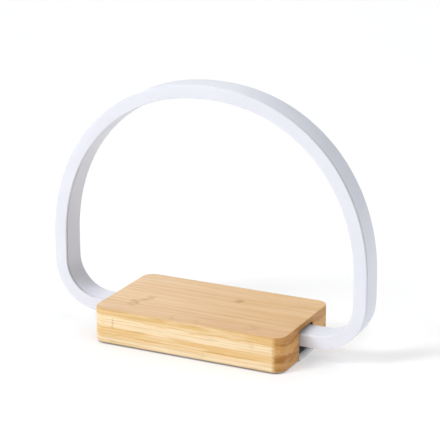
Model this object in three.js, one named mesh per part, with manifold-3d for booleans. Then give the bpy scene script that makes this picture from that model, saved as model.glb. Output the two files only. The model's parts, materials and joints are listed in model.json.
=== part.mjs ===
// Wireless charging pad with a lamp arch. A bamboo block holds the charging coil under its top face, and a
// D-shaped light tube enters both ends of the block and is clamped down inside it.
// Millimetres, +Z up. The front faces -Y, the block's length runs along X, and the origin is on the table
// under the middle of the block.
import * as THREE from 'three';
import { mergeVertices } from 'three/addons/utils/BufferGeometryUtils.js';
import Module from 'manifold-3d';

const wasm = await Module();
wasm.setup();

// ---------------------------------------------------------------- driving dimensions
const GAP = 0.3; // between pieces that touch
const SCREW_GAP = 0.15; // around a screw's shank
const LAP = 0.1; // how far the lumps of one piece run into each other
const PAST = 1; // how far a cutter runs past the face it opens
const PILOT_EXTRA = 0.5; // depth of a screw's hole past its tip
const facets = { wide: 24, middle: 16, narrow: 12, thin: 8 }; // sides of a round piece

const base = {
  length: 150,
  width: 85,
  top: 27.2, // height of the charging surface above the table
  bottom: 1.5, // underside of the wood
  cornerRadius: 8.7,
  edgeBreak: 0.5,
  cornerSegments: 8,
  wall: 7,
  ceiling: 3.2, // wood left above the coil
  cavityRadius: 4,
};
const arch = {
  halfWidth: 123.75,
  top: 191,
  headroom: 2.9, // between the tube's foot and the ceiling of the block, where the clamps go over it
  cornerRadius: 36.3,
  shoulder: 64.1, // height where the upright side turns into the crown
  crownPower: 2.1, // exponent of the crown's superellipse
  thickness: 9.6, // across the tube, in the plane of the arch
  depth: 21.3, // front to rear
  offsetY: -0.75,
  wall: 1.6,
  rearRadius: 1.3,
  steps: 66,
};
const diffuser = { face: 1.2, seam: 0.35, edge: 0.8, legLength: 3, legWall: 1.2 };
const slot = { side: 1.15, above: 1.9 }; // room around the tube in the block's end walls
const cover = {
  inset: 1.75, // of its rim from the wood's outline
  bottom: 0.4, // height above the table
  floorTop: 2.8,
  tongueTop: 5.8,
  tongueWall: 2,
};
const foot = { radius: 5, thickness: 1.1, pocket: 1, cupWall: 1 };
const corner = { inset: 10.5, postRadius: 6, postBottom: 4.5 }; // the wood posts that the cover screws enter
const cradle = { ribWidth: 2, sideInset: 1 }; // the ribs a tail of the tube rests on
const clamp = {
  inset: 14, // of its middle from the cavity's end
  width: 8,
  wall: 1.6,
  bossHeight: 9.5,
  bossRadius: 3.6,
  earLand: 1, // between a boss and the saddle's side
  tail: 2, // tube past the saddle's inner edge
};
const coil = { radius: 22, bore: 10, thickness: 1.1, turns: 6, groove: 0.22, sides: 30 };
const ferrite = { border: 3, thickness: 0.8, cornerRadius: 3 }; // its border shows round the coil
const tray = {
  legSpacingY: 40,
  clearOfBoard: 8, // its ends from the ends of the board, so its legs stand clear
  border: 1, // round the ferrite, front and rear
  thickness: 1.4,
  legRadius: 3,
  legInset: 3,
  pinRadius: 1.2,
  pinHeight: 4,
};
const board = {
  length: 48,
  width: 30,
  thickness: 1.6,
  bottom: 7,
  wallGap: 0.6,
  holeInset: 3.2,
  postRadius: 2.4,
};
const usb = { width: 8.94, height: 3.26, depth: 7.3, shellWall: 0.3, recessDepth: 4.5, recessRoom: 1.85 };
const tongue = { width: 6.7, height: 0.7, length: 4.6, back: 1.2, fit: 0.1 };
const button = {
  clearOfScrew: 0.8, // between its switch and the head of the board screw beside it
  radius: 4,
  side: 0.2, // running clearance in its hole
  recessed: 0.2,
  crown: 0.5,
  flangeRadius: 5.4,
  flange: 1.3,
  flangeDepth: 3, // how far its flange sits into the rear wall
  stemRadius: 1.6,
  stem: 0.5,
  travel: 0.7,
};
const lampSwitch = {
  width: 6.2,
  depth: 3.6,
  height: 6,
  back: 1, // its closed wall
  rearInset: 0.7, // from the board's rear edge
  plungerRadius: 1.5,
  plungerSide: 0.2,
  plungerHeight: 2.9,
};
const lead = { radius: 0.5, steps: 11 };
const coilLead = { offset: 3, offTray: 1.4, run: 1.5, landing: 3 };
const lampLead = { spread: 1.8, fromEnd: 5, past: 2, row: 8 };
const led = {
  count: 28,
  first: 0.08, // shares of the way round the tube where the first and last lights sit
  last: 0.92,
  length: 3.4,
  width: 2.8,
  height: 0.9,
  sunk: 0.15,
  stripWidth: 8,
  stripThickness: 0.4,
};
const coverScrew = { headRadius: 2.6, headHeight: 1.5, shankRadius: 1.4, length: 11, clear: 0.1 };
const clampScrew = { headRadius: 2.3, headHeight: 1.4, shankRadius: 1.1, length: 7 };
const boardScrew = { headRadius: 1.9, headHeight: 1.1, shankRadius: 0.9, length: 4.6 };
const driveSlot = { width: 0.7, reach: 0.6, depth: 0.6 }; // reach and depth are shares of the screw's head
// Parts on the board: each one's middle from the middle of the board, and its size.
const chargerChip = { x: -13.5, y: 0, length: 7, width: 7, height: 1 };
const capacitors = { x: 0.5, y: -6.5, length: 11, width: 5, height: 3.2 };
const driverChip = { x: 13, y: -0.5, length: 4, width: 5, height: 1.4 };
const inductor = { x: -14, y: -9, radius: 3.2, height: 3.4 };

// ---------------------------------------------------------------- sizes worked out from them
const cavity = {
  halfLength: base.length / 2 - base.wall,
  halfWidth: base.width / 2 - base.wall,
  top: base.top - base.ceiling,
};
const tube = {
  front: arch.offsetY - arch.depth / 2,
  rear: arch.offsetY + arch.depth / 2,
  top: cavity.top - arch.headroom,
  bottom: cavity.top - arch.headroom - arch.thickness,
};
const clampX = cavity.halfLength - clamp.inset;
const tailEndX = clampX - clamp.width / 2 - clamp.tail;
const clampScrewY = arch.depth / 2 + GAP + clamp.wall + clamp.earLand + clamp.bossRadius;
const earBottom = clamp.bossHeight + GAP;
const earTop = earBottom + clamp.wall;
const cornerX = base.length / 2 - corner.inset;
const cornerY = base.width / 2 - corner.inset;
const footPocketTop = cover.bottom + foot.pocket;
const cupRadius = foot.radius + GAP + foot.cupWall; // of the cover's cup round a foot and its screw
const coverScrewHead = footPocketTop + coverScrew.clear;
const coverWebBottom = coverScrewHead + coverScrew.headHeight + GAP;
const boardTop = board.bottom + board.thickness;
const boardRear = cavity.halfWidth - board.wallGap;
const boardFront = boardRear - board.width;
const boardMiddle = (boardFront + boardRear) / 2;
const boardHoleX = board.length / 2 - board.holeInset;
const onBoard = boardTop + GAP; // underside of what stands on the board
const usbZ = onBoard + usb.height / 2;
const usbMouthY = base.width / 2 - usb.recessDepth;
const switchRear = boardRear - lampSwitch.rearInset;
const switchFront = switchRear - lampSwitch.depth;
const buttonX = boardHoleX - boardScrew.headRadius - button.clearOfScrew - lampSwitch.width / 2;
const buttonZ = onBoard + lampSwitch.plungerHeight;
const flangeFront = cavity.halfWidth + button.flangeDepth;
const flangeRear = flangeFront - button.flange;
const stemRear = flangeRear - button.stem;
const plungerTip = stemRear - GAP;
const plungerRoot = switchFront + lampSwitch.back + button.travel + GAP;
const coilTop = cavity.top - GAP;
const ferriteSide = 2 * (coil.radius + ferrite.border);
const ferriteTop = coilTop - coil.thickness - GAP;
const trayLength = board.length + 2 * tray.clearOfBoard;
const trayWidth = ferriteSide + 2 * tray.border;
const trayTop = ferriteTop - ferrite.thickness - GAP;

// ---------------------------------------------------------------- materials
function surface(color, roughness, metalness = 0) {
  return new THREE.MeshStandardMaterial({ color, roughness, metalness });
}
const bamboo = surface(0xdcb27c, 0.55);
const whitePlastic = surface(0xe9eaf0, 0.42);
const opalPlastic = surface(0xf4f4fb, 0.35);
const greyPlastic = surface(0xa9a8a4, 0.6);
const blackPlastic = surface(0x22242a, 0.5);
const rubber = surface(0x3b3a38, 0.9);
const steel = surface(0xb6b8bb, 0.35, 1);
const copper = surface(0xc07a4a, 0.4, 1);
const ferriteGrey = surface(0x4a4a4d, 0.8);
const boardGreen = surface(0x2e6b46, 0.5);
const stripWhite = surface(0xf2efe2, 0.5);
const redWire = surface(0xb3352c, 0.5);
const blackWire = surface(0x26262a, 0.5);

// ---------------------------------------------------------------- solids
function toSolid(geometry) {
  const loose = geometry.index ? geometry.toNonIndexed() : geometry;
  const bare = new THREE.BufferGeometry().setAttribute('position', loose.getAttribute('position'));
  const merged = mergeVertices(bare, 1e-3);
  const vertProperties = merged.attributes.position.array;
  const triVerts = new Uint32Array(merged.index.array);
  return new wasm.Manifold(new wasm.Mesh({ numProp: 3, vertProperties, triVerts }));
}

function toGeometry(solid) {
  const mesh = solid.getMesh();
  const geometry = new THREE.BufferGeometry();
  geometry.setAttribute('position', new THREE.BufferAttribute(mesh.vertProperties, 3));
  geometry.setIndex(new THREE.BufferAttribute(mesh.triVerts, 1));
  geometry.computeVertexNormals();
  return geometry;
}

const join = (...solids) => solids.reduce((whole, next) => whole.add(next));
const cut = (whole, ...tools) => tools.reduce((rest, tool) => rest.subtract(tool), whole);

function block(x0, x1, y0, y1, z0, z1) {
  const box = new THREE.BoxGeometry(x1 - x0, y1 - y0, z1 - z0);
  return toSolid(box.translate((x0 + x1) / 2, (y0 + y1) / 2, (z0 + z1) / 2));
}

// A cylinder along Z.
function post(x, y, z0, z1, radius, sides = facets.middle) {
  const cylinder = new THREE.CylinderGeometry(radius, radius, z1 - z0, sides);
  return toSolid(cylinder.rotateX(Math.PI / 2).translate(x, y, (z0 + z1) / 2));
}

// A cylinder along Y.
function barrel(x, z, y0, y1, radius, sides = facets.wide) {
  const cylinder = new THREE.CylinderGeometry(radius, radius, y1 - y0, sides);
  return toSolid(cylinder.translate(x, (y0 + y1) / 2, z));
}

function roundedRectangle(length, width, radius) {
  const x = length / 2 - radius;
  const y = width / 2 - radius;
  const shape = new THREE.Shape();
  shape.absarc(x, y, radius, 0, Math.PI / 2);
  shape.absarc(-x, y, radius, Math.PI / 2, Math.PI);
  shape.absarc(-x, -y, radius, Math.PI, Math.PI * 1.5);
  shape.absarc(x, -y, radius, Math.PI * 1.5, Math.PI * 2);
  return shape;
}

// A flat shape in X and Y, standing from z0 to z1, with both rims broken by a bevel where one is given.
function plate(shape, z0, z1, bevel = 0, curveSegments = 6) {
  const geometry = new THREE.ExtrudeGeometry(shape, {
    depth: z1 - z0 - 2 * bevel,
    bevelEnabled: bevel > 0,
    bevelThickness: bevel,
    bevelSize: bevel,
    bevelOffset: -bevel,
    bevelSegments: 1,
    curveSegments,
  });
  return toSolid(geometry.translate(0, 0, z0 + bevel));
}

// A flat shape in X and Z, running from y0 to y1.
function slab(shape, y0, y1, curveSegments = 6) {
  const geometry = new THREE.ExtrudeGeometry(shape, { depth: y1 - y0, bevelEnabled: false, curveSegments });
  return toSolid(geometry.rotateX(Math.PI / 2).translate(0, y1, 0));
}

function stadium(width, height) {
  return roundedRectangle(width, height, height / 2 - 0.01);
}

const group = new THREE.Group();

function add(name, solid, material, parent = group) {
  const mesh = new THREE.Mesh(toGeometry(solid), material);
  mesh.name = name;
  parent.add(mesh);
  return mesh;
}

const SIDES = [['left', -1], ['right', 1]];
const DEPTHS = [['front', -1], ['rear', 1]];

// Runs make(name, x, y) for each corner of the block, at its cover screw and foot.
function forEachCorner(make) {
  for (const [sideName, sx] of SIDES) {
    for (const [depthName, sy] of DEPTHS) make(`${depthName}_${sideName}`, sx * cornerX, sy * cornerY);
  }
}

// A slotted screw along Z, from the outer face of its head to its tip. It points up or down.
function screw(x, y, headZ, tipZ, { headRadius, headHeight, shankRadius }) {
  const towards = Math.sign(tipZ - headZ);
  const spans = (a, b) => [Math.min(a, b), Math.max(a, b)];
  const seat = headZ + towards * headHeight;
  const head = post(x, y, ...spans(headZ, seat), headRadius, facets.narrow);
  const shank = post(x, y, ...spans(seat - towards * LAP, tipZ), shankRadius, facets.thin);
  const reach = headRadius * driveSlot.reach;
  const across = driveSlot.width / 2;
  const floor = headZ + towards * headHeight * driveSlot.depth;
  const drive = block(x - across, x + across, y - reach, y + reach, ...spans(headZ - towards * PAST, floor));
  return cut(join(head, shank), drive);
}

// ---------------------------------------------------------------- bamboo block
function slotCutter(side) {
  const inner = side * (cavity.halfLength - PAST);
  const outer = side * (base.length / 2 + PAST);
  return block(Math.min(inner, outer), Math.max(inner, outer), tube.front - slot.side, tube.rear + slot.side,
    base.bottom - PAST, tube.top + slot.above);
}

function makeHousing() {
  const outline = roundedRectangle(base.length, base.width, base.cornerRadius);
  let wood = plate(outline, base.bottom, base.top, base.edgeBreak, base.cornerSegments);
  let hollow = plate(roundedRectangle(2 * cavity.halfLength, 2 * cavity.halfWidth, base.cavityRadius),
    base.bottom - PAST, cavity.top);
  forEachCorner((name, x, y) => {
    hollow = hollow.subtract(post(x, y, corner.postBottom, cavity.top + PAST, corner.postRadius));
  });
  wood = cut(wood, hollow, slotCutter(-1), slotCutter(1));
  forEachCorner((name, x, y) => {
    const cupPocket = post(x, y, base.bottom - PAST, corner.postBottom, cupRadius + GAP, facets.wide);
    const pilot = post(x, y, corner.postBottom - PAST, coverScrewHead + coverScrew.length + PILOT_EXTRA,
      coverScrew.shankRadius + SCREW_GAP, facets.narrow);
    wood = cut(wood, cupPocket, pilot);
  });
  const recess = slab(stadium(usb.width + 2 * usb.recessRoom, usb.height + 2 * usb.recessRoom),
    usbMouthY, base.width / 2 + PAST);
  const socketHole = slab(stadium(usb.width + 2 * GAP, usb.height + 2 * GAP),
    cavity.halfWidth - PAST, usbMouthY + LAP);
  wood = cut(wood, recess.translate([0, 0, usbZ]), socketHole.translate([0, 0, usbZ]));
  const buttonHole = barrel(buttonX, buttonZ, cavity.halfWidth - PAST, base.width / 2 + PAST,
    button.radius + button.side);
  const buttonPocket = barrel(buttonX, buttonZ, cavity.halfWidth - PAST, flangeFront + GAP,
    button.flangeRadius + GAP);
  add('bamboo_housing', cut(wood, buttonHole, buttonPocket), bamboo);
}

// ---------------------------------------------------------------- bottom cover, feet and screws
function makeCover() {
  const rimTop = base.bottom - GAP;
  const rim = roundedRectangle(base.length - 2 * cover.inset, base.width - 2 * cover.inset,
    base.cornerRadius - cover.inset);
  const floor = roundedRectangle(2 * (cavity.halfLength - GAP), 2 * (cavity.halfWidth - GAP),
    base.cavityRadius - GAP);
  let body = join(plate(rim, cover.bottom, rimTop), plate(floor, cover.bottom, cover.floorTop));
  for (const [, side] of SIDES) body = join(body, endTongue(side), archCradle(side), ...clampBosses(side));
  forEachCorner((name, x, y) => {
    body = body.add(post(x, y, cover.bottom + LAP, corner.postBottom - GAP, cupRadius, facets.wide));
  });
  forEachCorner((name, x, y) => {
    const pocket = post(x, y, cover.bottom - PAST, footPocketTop, foot.radius + GAP, facets.wide);
    const headPocket = post(x, y, cover.bottom, coverWebBottom, coverScrew.headRadius + GAP);
    const hole = post(x, y, cover.bottom, corner.postBottom + PAST, coverScrew.shankRadius + SCREW_GAP,
      facets.narrow);
    body = cut(body, pocket, headPocket, hole);
  });
  body = join(body, ...boardPosts(), ...trayPins());
  const pilots = [...clampPilots(), ...boardPilots()];
  add('bottom_cover', cut(body, ...pilots), greyPlastic);
}

// The upright lip that closes the lower part of the slot in an end wall, flush with the wood.
function endTongue(side) {
  const y0 = tube.front - slot.side + GAP;
  const y1 = tube.rear + slot.side - GAP;
  const end = side * base.length / 2;
  const inner = side * (cavity.halfLength - PAST);
  const lip = side * (base.length / 2 - cover.tongueWall);
  const sole = block(Math.min(inner, end), Math.max(inner, end), y0, y1, cover.bottom, cover.floorTop);
  const wall = block(Math.min(lip, end), Math.max(lip, end), y0, y1, cover.bottom, cover.tongueTop);
  return join(sole, wall);
}

// Two ribs that the tube's tail rests on.
function archCradle(side) {
  const ribs = [-1, 1].map((step) => {
    const x = side * clampX + step * (clamp.width - cradle.ribWidth) / 2;
    return block(x - cradle.ribWidth / 2, x + cradle.ribWidth / 2, tube.front + cradle.sideInset,
      tube.rear - cradle.sideInset, cover.floorTop - LAP, tube.bottom - GAP);
  });
  return join(...ribs);
}

function clampSpots(side) {
  return DEPTHS.map(([depthName, sy]) => [side * clampX, arch.offsetY + sy * clampScrewY, depthName]);
}

function clampBosses(side) {
  const { bossHeight, bossRadius } = clamp;
  return clampSpots(side).map(([x, y]) => post(x, y, cover.floorTop - LAP, bossHeight, bossRadius));
}

function clampPilots() {
  const radius = clampScrew.shankRadius + SCREW_GAP;
  const bottom = earTop - clampScrew.length - PILOT_EXTRA;
  return SIDES.flatMap(([, side]) =>
    clampSpots(side).map(([x, y]) => post(x, y, bottom, clamp.bossHeight + PAST, radius, facets.narrow)));
}

function boardSpots() {
  const spots = [];
  for (const [sideName, sx] of SIDES) {
    spots.push([sx * boardHoleX, boardFront + board.holeInset, `front_${sideName}`]);
    spots.push([sx * boardHoleX, boardRear - board.holeInset, `rear_${sideName}`]);
  }
  return spots;
}

function boardPosts() {
  return boardSpots().map(([x, y]) => post(x, y, cover.floorTop - LAP, board.bottom - GAP, board.postRadius));
}

function boardPilots() {
  const radius = boardScrew.shankRadius + SCREW_GAP;
  const bottom = onBoard - boardScrew.length - PILOT_EXTRA;
  return boardSpots().map(([x, y]) => post(x, y, bottom, board.bottom + PAST, radius, facets.narrow));
}

function traySpots() {
  const x = trayLength / 2 - tray.legInset;
  return [[-x, -1], [-x, 1], [x, -1], [x, 1]].map(([lx, sy]) => [lx, sy * tray.legSpacingY / 2]);
}

function trayPins() {
  return traySpots().map(([x, y]) =>
    post(x, y, cover.floorTop - LAP, cover.floorTop + tray.pinHeight, tray.pinRadius, facets.narrow));
}

function makeFeetAndCoverScrews() {
  forEachCorner((name, x, y) => {
    add(`foot_${name}`, post(x, y, 0, foot.thickness, foot.radius, facets.wide), rubber);
  });
  forEachCorner((name, x, y) => {
    const fastener = screw(x, y, coverScrewHead, coverScrewHead + coverScrew.length, coverScrew);
    add(`cover_screw_${name}`, fastener, steel);
  });
}

// ---------------------------------------------------------------- lamp arch
// The outer underside of the tube, from the end of the left tail round to the end of the right one.
class ArchPath extends THREE.Curve {
  getPoint(t, target = new THREE.Vector3()) {
    const side = t < 0.5 ? -1 : 1;
    const along = Math.min(t, 1 - t) * 8; // four stretches between a tail's end and the crown
    const stretch = Math.min(3, Math.floor(along));
    const [x, z] = [tailPoint, cornerPoint, sidePoint, crownPoint][stretch](along - stretch);
    return target.set(side * x, arch.offsetY, z);
  }
}

const cornerCentre = { x: arch.halfWidth - arch.cornerRadius, z: tube.bottom + arch.cornerRadius };

function tailPoint(share) {
  return [THREE.MathUtils.lerp(tailEndX, cornerCentre.x, share), tube.bottom];
}

function cornerPoint(share) {
  const angle = share * Math.PI / 2;
  const x = cornerCentre.x + arch.cornerRadius * Math.sin(angle);
  return [x, cornerCentre.z - arch.cornerRadius * Math.cos(angle)];
}

function sidePoint(share) {
  return [arch.halfWidth, THREE.MathUtils.lerp(cornerCentre.z, arch.shoulder, share)];
}

function crownPoint(share) {
  const angle = share * Math.PI / 2;
  const power = 2 / arch.crownPower;
  const x = arch.halfWidth * Math.max(0, Math.cos(angle)) ** power;
  return [x, arch.shoulder + (arch.top - arch.shoulder) * Math.sin(angle) ** power];
}

const archPath = new ArchPath();
archPath.arcLengthDivisions = 800;

// Sweeps a section along the arch. A section point is [towards the front, towards the inside of the D], and
// the sweep's own first axis points out of the D and its second one to the front.
function sweepArch(points) {
  const section = new THREE.Shape(points.map(([forward, inward]) => new THREE.Vector2(-inward, forward)));
  return toSolid(new THREE.ExtrudeGeometry(section, { steps: arch.steps, extrudePath: archPath }));
}

const half = arch.depth / 2;
const channelFront = half - diffuser.face - diffuser.seam;

function makeLampHousing() {
  const { thickness, wall, rearRadius } = arch;
  const softened = rearRadius * 0.3;
  const rearWall = -half + wall;
  add('lamp_housing', sweepArch([
    [-half + rearRadius, 0],
    [channelFront, 0],
    [channelFront, wall],
    [rearWall, wall],
    [rearWall, thickness - wall],
    [channelFront, thickness - wall],
    [channelFront, thickness],
    [-half + rearRadius, thickness],
    [-half + softened, thickness - softened],
    [-half, thickness - rearRadius],
    [-half, rearRadius],
    [-half + softened, softened],
  ]), whitePlastic);
}

function makeDiffuser() {
  const { thickness, wall } = arch;
  const back = half - diffuser.face;
  const legEnd = back - diffuser.legLength;
  const outerLeg = wall + GAP;
  const innerLeg = thickness - outerLeg;
  add('lamp_diffuser', sweepArch([
    [back, 0],
    [half - diffuser.edge, 0],
    [half, diffuser.edge],
    [half, thickness - diffuser.edge],
    [half - diffuser.edge, thickness],
    [back, thickness],
    [back, innerLeg],
    [legEnd, innerLeg],
    [legEnd, innerLeg - diffuser.legWall],
    [back, innerLeg - diffuser.legWall],
    [back, outerLeg + diffuser.legWall],
    [legEnd, outerLeg + diffuser.legWall],
    [legEnd, outerLeg],
    [back, outerLeg],
  ]), opalPlastic);
}

// The flexible strip lies against the inside of the tube's outer wall, its lights facing the middle.
function makeLedStrip() {
  const stripBottom = arch.wall + GAP;
  const stripTop = stripBottom + led.stripThickness;
  const w = led.stripWidth / 2;
  let strip = sweepArch([[-w, stripBottom], [w, stripBottom], [w, stripTop], [-w, stripTop]]);
  const forward = new THREE.Vector3(0, -1, 0);
  const reach = stripTop + led.height / 2 - led.sunk;
  for (let i = 0; i < led.count; i++) {
    const share = THREE.MathUtils.lerp(led.first, led.last, i / (led.count - 1));
    const along = archPath.getTangentAt(share);
    const inward = new THREE.Vector3().crossVectors(along, forward);
    const place = new THREE.Matrix4().makeBasis(along, forward, inward);
    place.setPosition(archPath.getPointAt(share).addScaledVector(inward, reach));
    const chip = new THREE.BoxGeometry(led.length, led.width, led.height).applyMatrix4(place);
    strip = strip.add(toSolid(chip));
  }
  add('led_strip', strip, stripWhite);
}

// The saddle that holds a tail down, with an ear each side of the tube.
function makeClamps() {
  const inner = arch.depth / 2 + GAP;
  const outer = inner + clamp.wall;
  const ear = clampScrewY + clamp.bossRadius;
  const bridge = tube.top + GAP;
  for (const [sideName, side] of SIDES) {
    const x0 = side * clampX - clamp.width / 2;
    const x1 = x0 + clamp.width;
    const y = arch.offsetY;
    let saddle = join(
      block(x0, x1, y - outer, y + outer, bridge, bridge + clamp.wall),
      block(x0, x1, y - outer, y - inner, earBottom, bridge + LAP),
      block(x0, x1, y + inner, y + outer, earBottom, bridge + LAP),
      block(x0, x1, y - ear, y - inner, earBottom, earTop),
      block(x0, x1, y + inner, y + ear, earBottom, earTop),
    );
    for (const [sx, sy] of clampSpots(side)) {
      const hole = post(sx, sy, earBottom - PAST, earTop + PAST, clampScrew.shankRadius + GAP, facets.narrow);
      saddle = saddle.subtract(hole);
    }
    add(`arch_clamp_${sideName}`, saddle, blackPlastic);
    for (const [sx, sy, depthName] of clampSpots(side)) {
      const headTop = earTop + GAP + clampScrew.headHeight;
      const fastener = screw(sx, sy, headTop, earTop - clampScrew.length, clampScrew);
      add(`clamp_screw_${depthName}_${sideName}`, fastener, steel);
    }
  }
}

// ---------------------------------------------------------------- charging coil stack
function makeCoil() {
  const pitch = (coil.radius - coil.bore) / coil.turns;
  const bottom = coilTop - coil.thickness;
  const groove = coil.groove;
  const profile = [new THREE.Vector2(coil.bore, bottom)];
  profile.push(new THREE.Vector2(coil.radius, bottom));
  for (let turn = coil.turns; turn > 0; turn--) {
    profile.push(new THREE.Vector2(coil.bore + turn * pitch, coilTop - groove));
    profile.push(new THREE.Vector2(coil.bore + (turn - 0.5) * pitch, coilTop));
  }
  profile.push(new THREE.Vector2(coil.bore, coilTop - groove));
  profile.push(profile[0].clone());
  add('charging_coil', toSolid(new THREE.LatheGeometry(profile, coil.sides).rotateX(Math.PI / 2)), copper);
}

function makeFerriteAndTray() {
  const square = roundedRectangle(ferriteSide, ferriteSide, ferrite.cornerRadius);
  add('ferrite_shield', plate(square, ferriteTop - ferrite.thickness, ferriteTop), ferriteGrey);
  const bottom = trayTop - tray.thickness;
  let body = plate(roundedRectangle(trayLength, trayWidth, tray.legRadius), bottom, trayTop);
  for (const [x, y] of traySpots()) {
    const leg = post(x, y, cover.floorTop + GAP, bottom + LAP, tray.legRadius);
    const bore = post(x, y, cover.floorTop, cover.floorTop + tray.pinHeight + PAST, tray.pinRadius + GAP,
      facets.narrow);
    body = body.add(leg).subtract(bore);
  }
  add('coil_tray', body, blackPlastic);
}

// ---------------------------------------------------------------- control board and what stands on it
function makeBoard() {
  let body = block(-board.length / 2, board.length / 2, boardFront, boardRear, board.bottom, boardTop);
  for (const [x, y] of boardSpots()) {
    const radius = boardScrew.shankRadius + GAP;
    body = body.subtract(post(x, y, board.bottom - PAST, boardTop + PAST, radius, facets.narrow));
  }
  add('control_board', body, boardGreen);
  for (const [x, y, name] of boardSpots()) {
    const fastener = screw(x, y, onBoard + boardScrew.headHeight, onBoard - boardScrew.length, boardScrew);
    add(`board_screw_${name}`, fastener, steel);
  }
}

function boardPart({ x, y, length, width, height }) {
  const front = boardMiddle + y - width / 2;
  return block(x - length / 2, x + length / 2, front, front + width, onBoard, onBoard + height);
}

function makeBoardComponents() {
  add('charger_chip', boardPart(chargerChip), blackPlastic);
  add('resonant_capacitors', boardPart(capacitors), greyPlastic);
  add('lamp_driver_chip', boardPart(driverChip), blackPlastic);
  const { x, y, radius, height } = inductor;
  add('power_inductor', post(x, boardMiddle + y, onBoard, onBoard + height, radius), ferriteGrey);
}

function makeUsbSocket() {
  const rear = usbMouthY - usb.depth;
  const bore = usb.shellWall;
  const outer = slab(stadium(usb.width, usb.height), rear, usbMouthY);
  const inner = slab(stadium(usb.width - 2 * bore, usb.height - 2 * bore), rear - PAST, usbMouthY + PAST);
  add('usb_socket_shell', cut(outer, inner).translate([0, 0, usbZ]), steel);
  const fit = bore + tongue.fit;
  const back = slab(stadium(usb.width - 2 * fit, usb.height - 2 * fit), rear, rear + tongue.back);
  const blade = block(-tongue.width / 2, tongue.width / 2, rear + tongue.back - LAP,
    rear + tongue.back + tongue.length, -tongue.height / 2, tongue.height / 2);
  add('usb_socket_insert', join(back, blade).translate([0, 0, usbZ]), blackPlastic);
}

// ---------------------------------------------------------------- lamp button and its switch
function makeLampButton() {
  const face = base.width / 2 - button.recessed;
  const { crown, radius, flangeRadius, stemRadius } = button;
  const cap = join(
    barrel(buttonX, buttonZ, flangeRear, face - crown, radius),
    barrel(buttonX, buttonZ, face - crown - LAP, face, radius - crown),
    barrel(buttonX, buttonZ, flangeRear, flangeFront, flangeRadius),
    barrel(buttonX, buttonZ, stemRear, flangeRear + LAP, stemRadius, facets.middle),
  );
  add('lamp_button', cap, whitePlastic);
  const plunger = barrel(buttonX, buttonZ, plungerRoot, plungerTip, lampSwitch.plungerRadius, facets.middle);
  add('lamp_switch_plunger', plunger, greyPlastic);
}

function makeLampSwitch() {
  const { width, height, back, plungerRadius, plungerSide } = lampSwitch;
  const left = buttonX - width / 2;
  const body = block(left, left + width, switchFront, switchRear, onBoard, onBoard + height);
  const bore = barrel(buttonX, buttonZ, switchFront + back, switchRear + PAST, plungerRadius + plungerSide,
    facets.middle);
  add('lamp_switch', cut(body, bore), blackPlastic);
}

// ---------------------------------------------------------------- leads
function wire(points) {
  const route = new THREE.CatmullRomCurve3(points.map(([x, y, z]) => new THREE.Vector3(x, y, z)));
  const section = new THREE.Shape();
  section.absarc(0, 0, lead.radius, 0, Math.PI * 2);
  const options = { steps: lead.steps, extrudePath: route, curveSegments: 4 };
  return toSolid(new THREE.ExtrudeGeometry(section, options));
}

function makeLeads() {
  const rest = onBoard + lead.radius;
  const coilMiddle = coilTop - coil.thickness / 2;
  const edge = -trayWidth / 2 - coilLead.offTray;
  for (const [name, x] of [['outer', coilLead.offset], ['inner', -coilLead.offset]]) {
    add(`coil_lead_${name}`, wire([
      [x, -coil.radius - GAP, coilMiddle],
      [x, edge + coilLead.run, coilMiddle],
      [x, edge, trayTop - 2 * lead.radius],
      [x, edge + 4 * coilLead.run, rest + 4 * coilLead.run],
      [x, boardFront - coilLead.landing, rest + coilLead.run],
      [x, boardFront + coilLead.landing, rest],
    ]), copper);
  }
  const stripMiddle = tube.bottom + arch.wall + GAP + led.stripThickness / 2;
  const boardEnd = board.length / 2;
  for (const [name, spread, material] of [
    ['positive', -lampLead.spread, redWire],
    ['negative', lampLead.spread, blackWire],
  ]) {
    const y = arch.offsetY + spread;
    const start = boardFront + lampLead.row + spread;
    add(`lamp_lead_${name}`, wire([
      [boardEnd - lampLead.fromEnd, start, rest],
      [boardEnd + lampLead.past, start, rest],
      [(boardEnd + tailEndX) / 2, (start + y) / 2, (rest + stripMiddle) / 2],
      [tailEndX - lampLead.fromEnd, y, stripMiddle],
      [tailEndX - GAP, y, stripMiddle],
    ]), material);
  }
}

// ---------------------------------------------------------------- assembly
makeHousing();
makeCover();
makeFeetAndCoverScrews();
makeLampHousing();
makeDiffuser();
makeLedStrip();
makeClamps();
makeCoil();
makeFerriteAndTray();
makeBoard();
makeBoardComponents();
makeUsbSocket();
makeLampButton();
makeLampSwitch();
makeLeads();

export default group;
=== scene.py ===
"""Looks of the wireless charging pad with a lamp arch.

A block of pressed bamboo carries a white D-shaped light tube. Lengths are in metres, as in the frame.
"""
import json
import math

import bmesh
import bpy
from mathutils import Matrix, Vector


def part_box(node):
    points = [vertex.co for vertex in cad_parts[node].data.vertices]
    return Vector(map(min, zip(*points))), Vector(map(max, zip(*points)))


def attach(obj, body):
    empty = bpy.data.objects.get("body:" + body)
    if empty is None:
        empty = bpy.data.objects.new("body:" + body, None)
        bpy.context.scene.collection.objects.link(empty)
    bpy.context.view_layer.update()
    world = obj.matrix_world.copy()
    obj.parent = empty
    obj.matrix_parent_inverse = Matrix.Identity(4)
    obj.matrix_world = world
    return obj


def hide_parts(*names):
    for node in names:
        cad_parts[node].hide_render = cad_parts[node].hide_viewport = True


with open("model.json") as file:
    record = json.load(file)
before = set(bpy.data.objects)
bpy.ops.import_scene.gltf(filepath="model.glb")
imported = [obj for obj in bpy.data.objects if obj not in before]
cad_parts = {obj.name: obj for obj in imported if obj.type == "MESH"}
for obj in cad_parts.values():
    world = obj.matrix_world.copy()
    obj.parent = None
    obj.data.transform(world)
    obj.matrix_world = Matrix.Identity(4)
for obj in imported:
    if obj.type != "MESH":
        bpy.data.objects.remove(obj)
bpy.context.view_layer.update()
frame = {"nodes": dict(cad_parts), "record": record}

MM = 0.001

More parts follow.
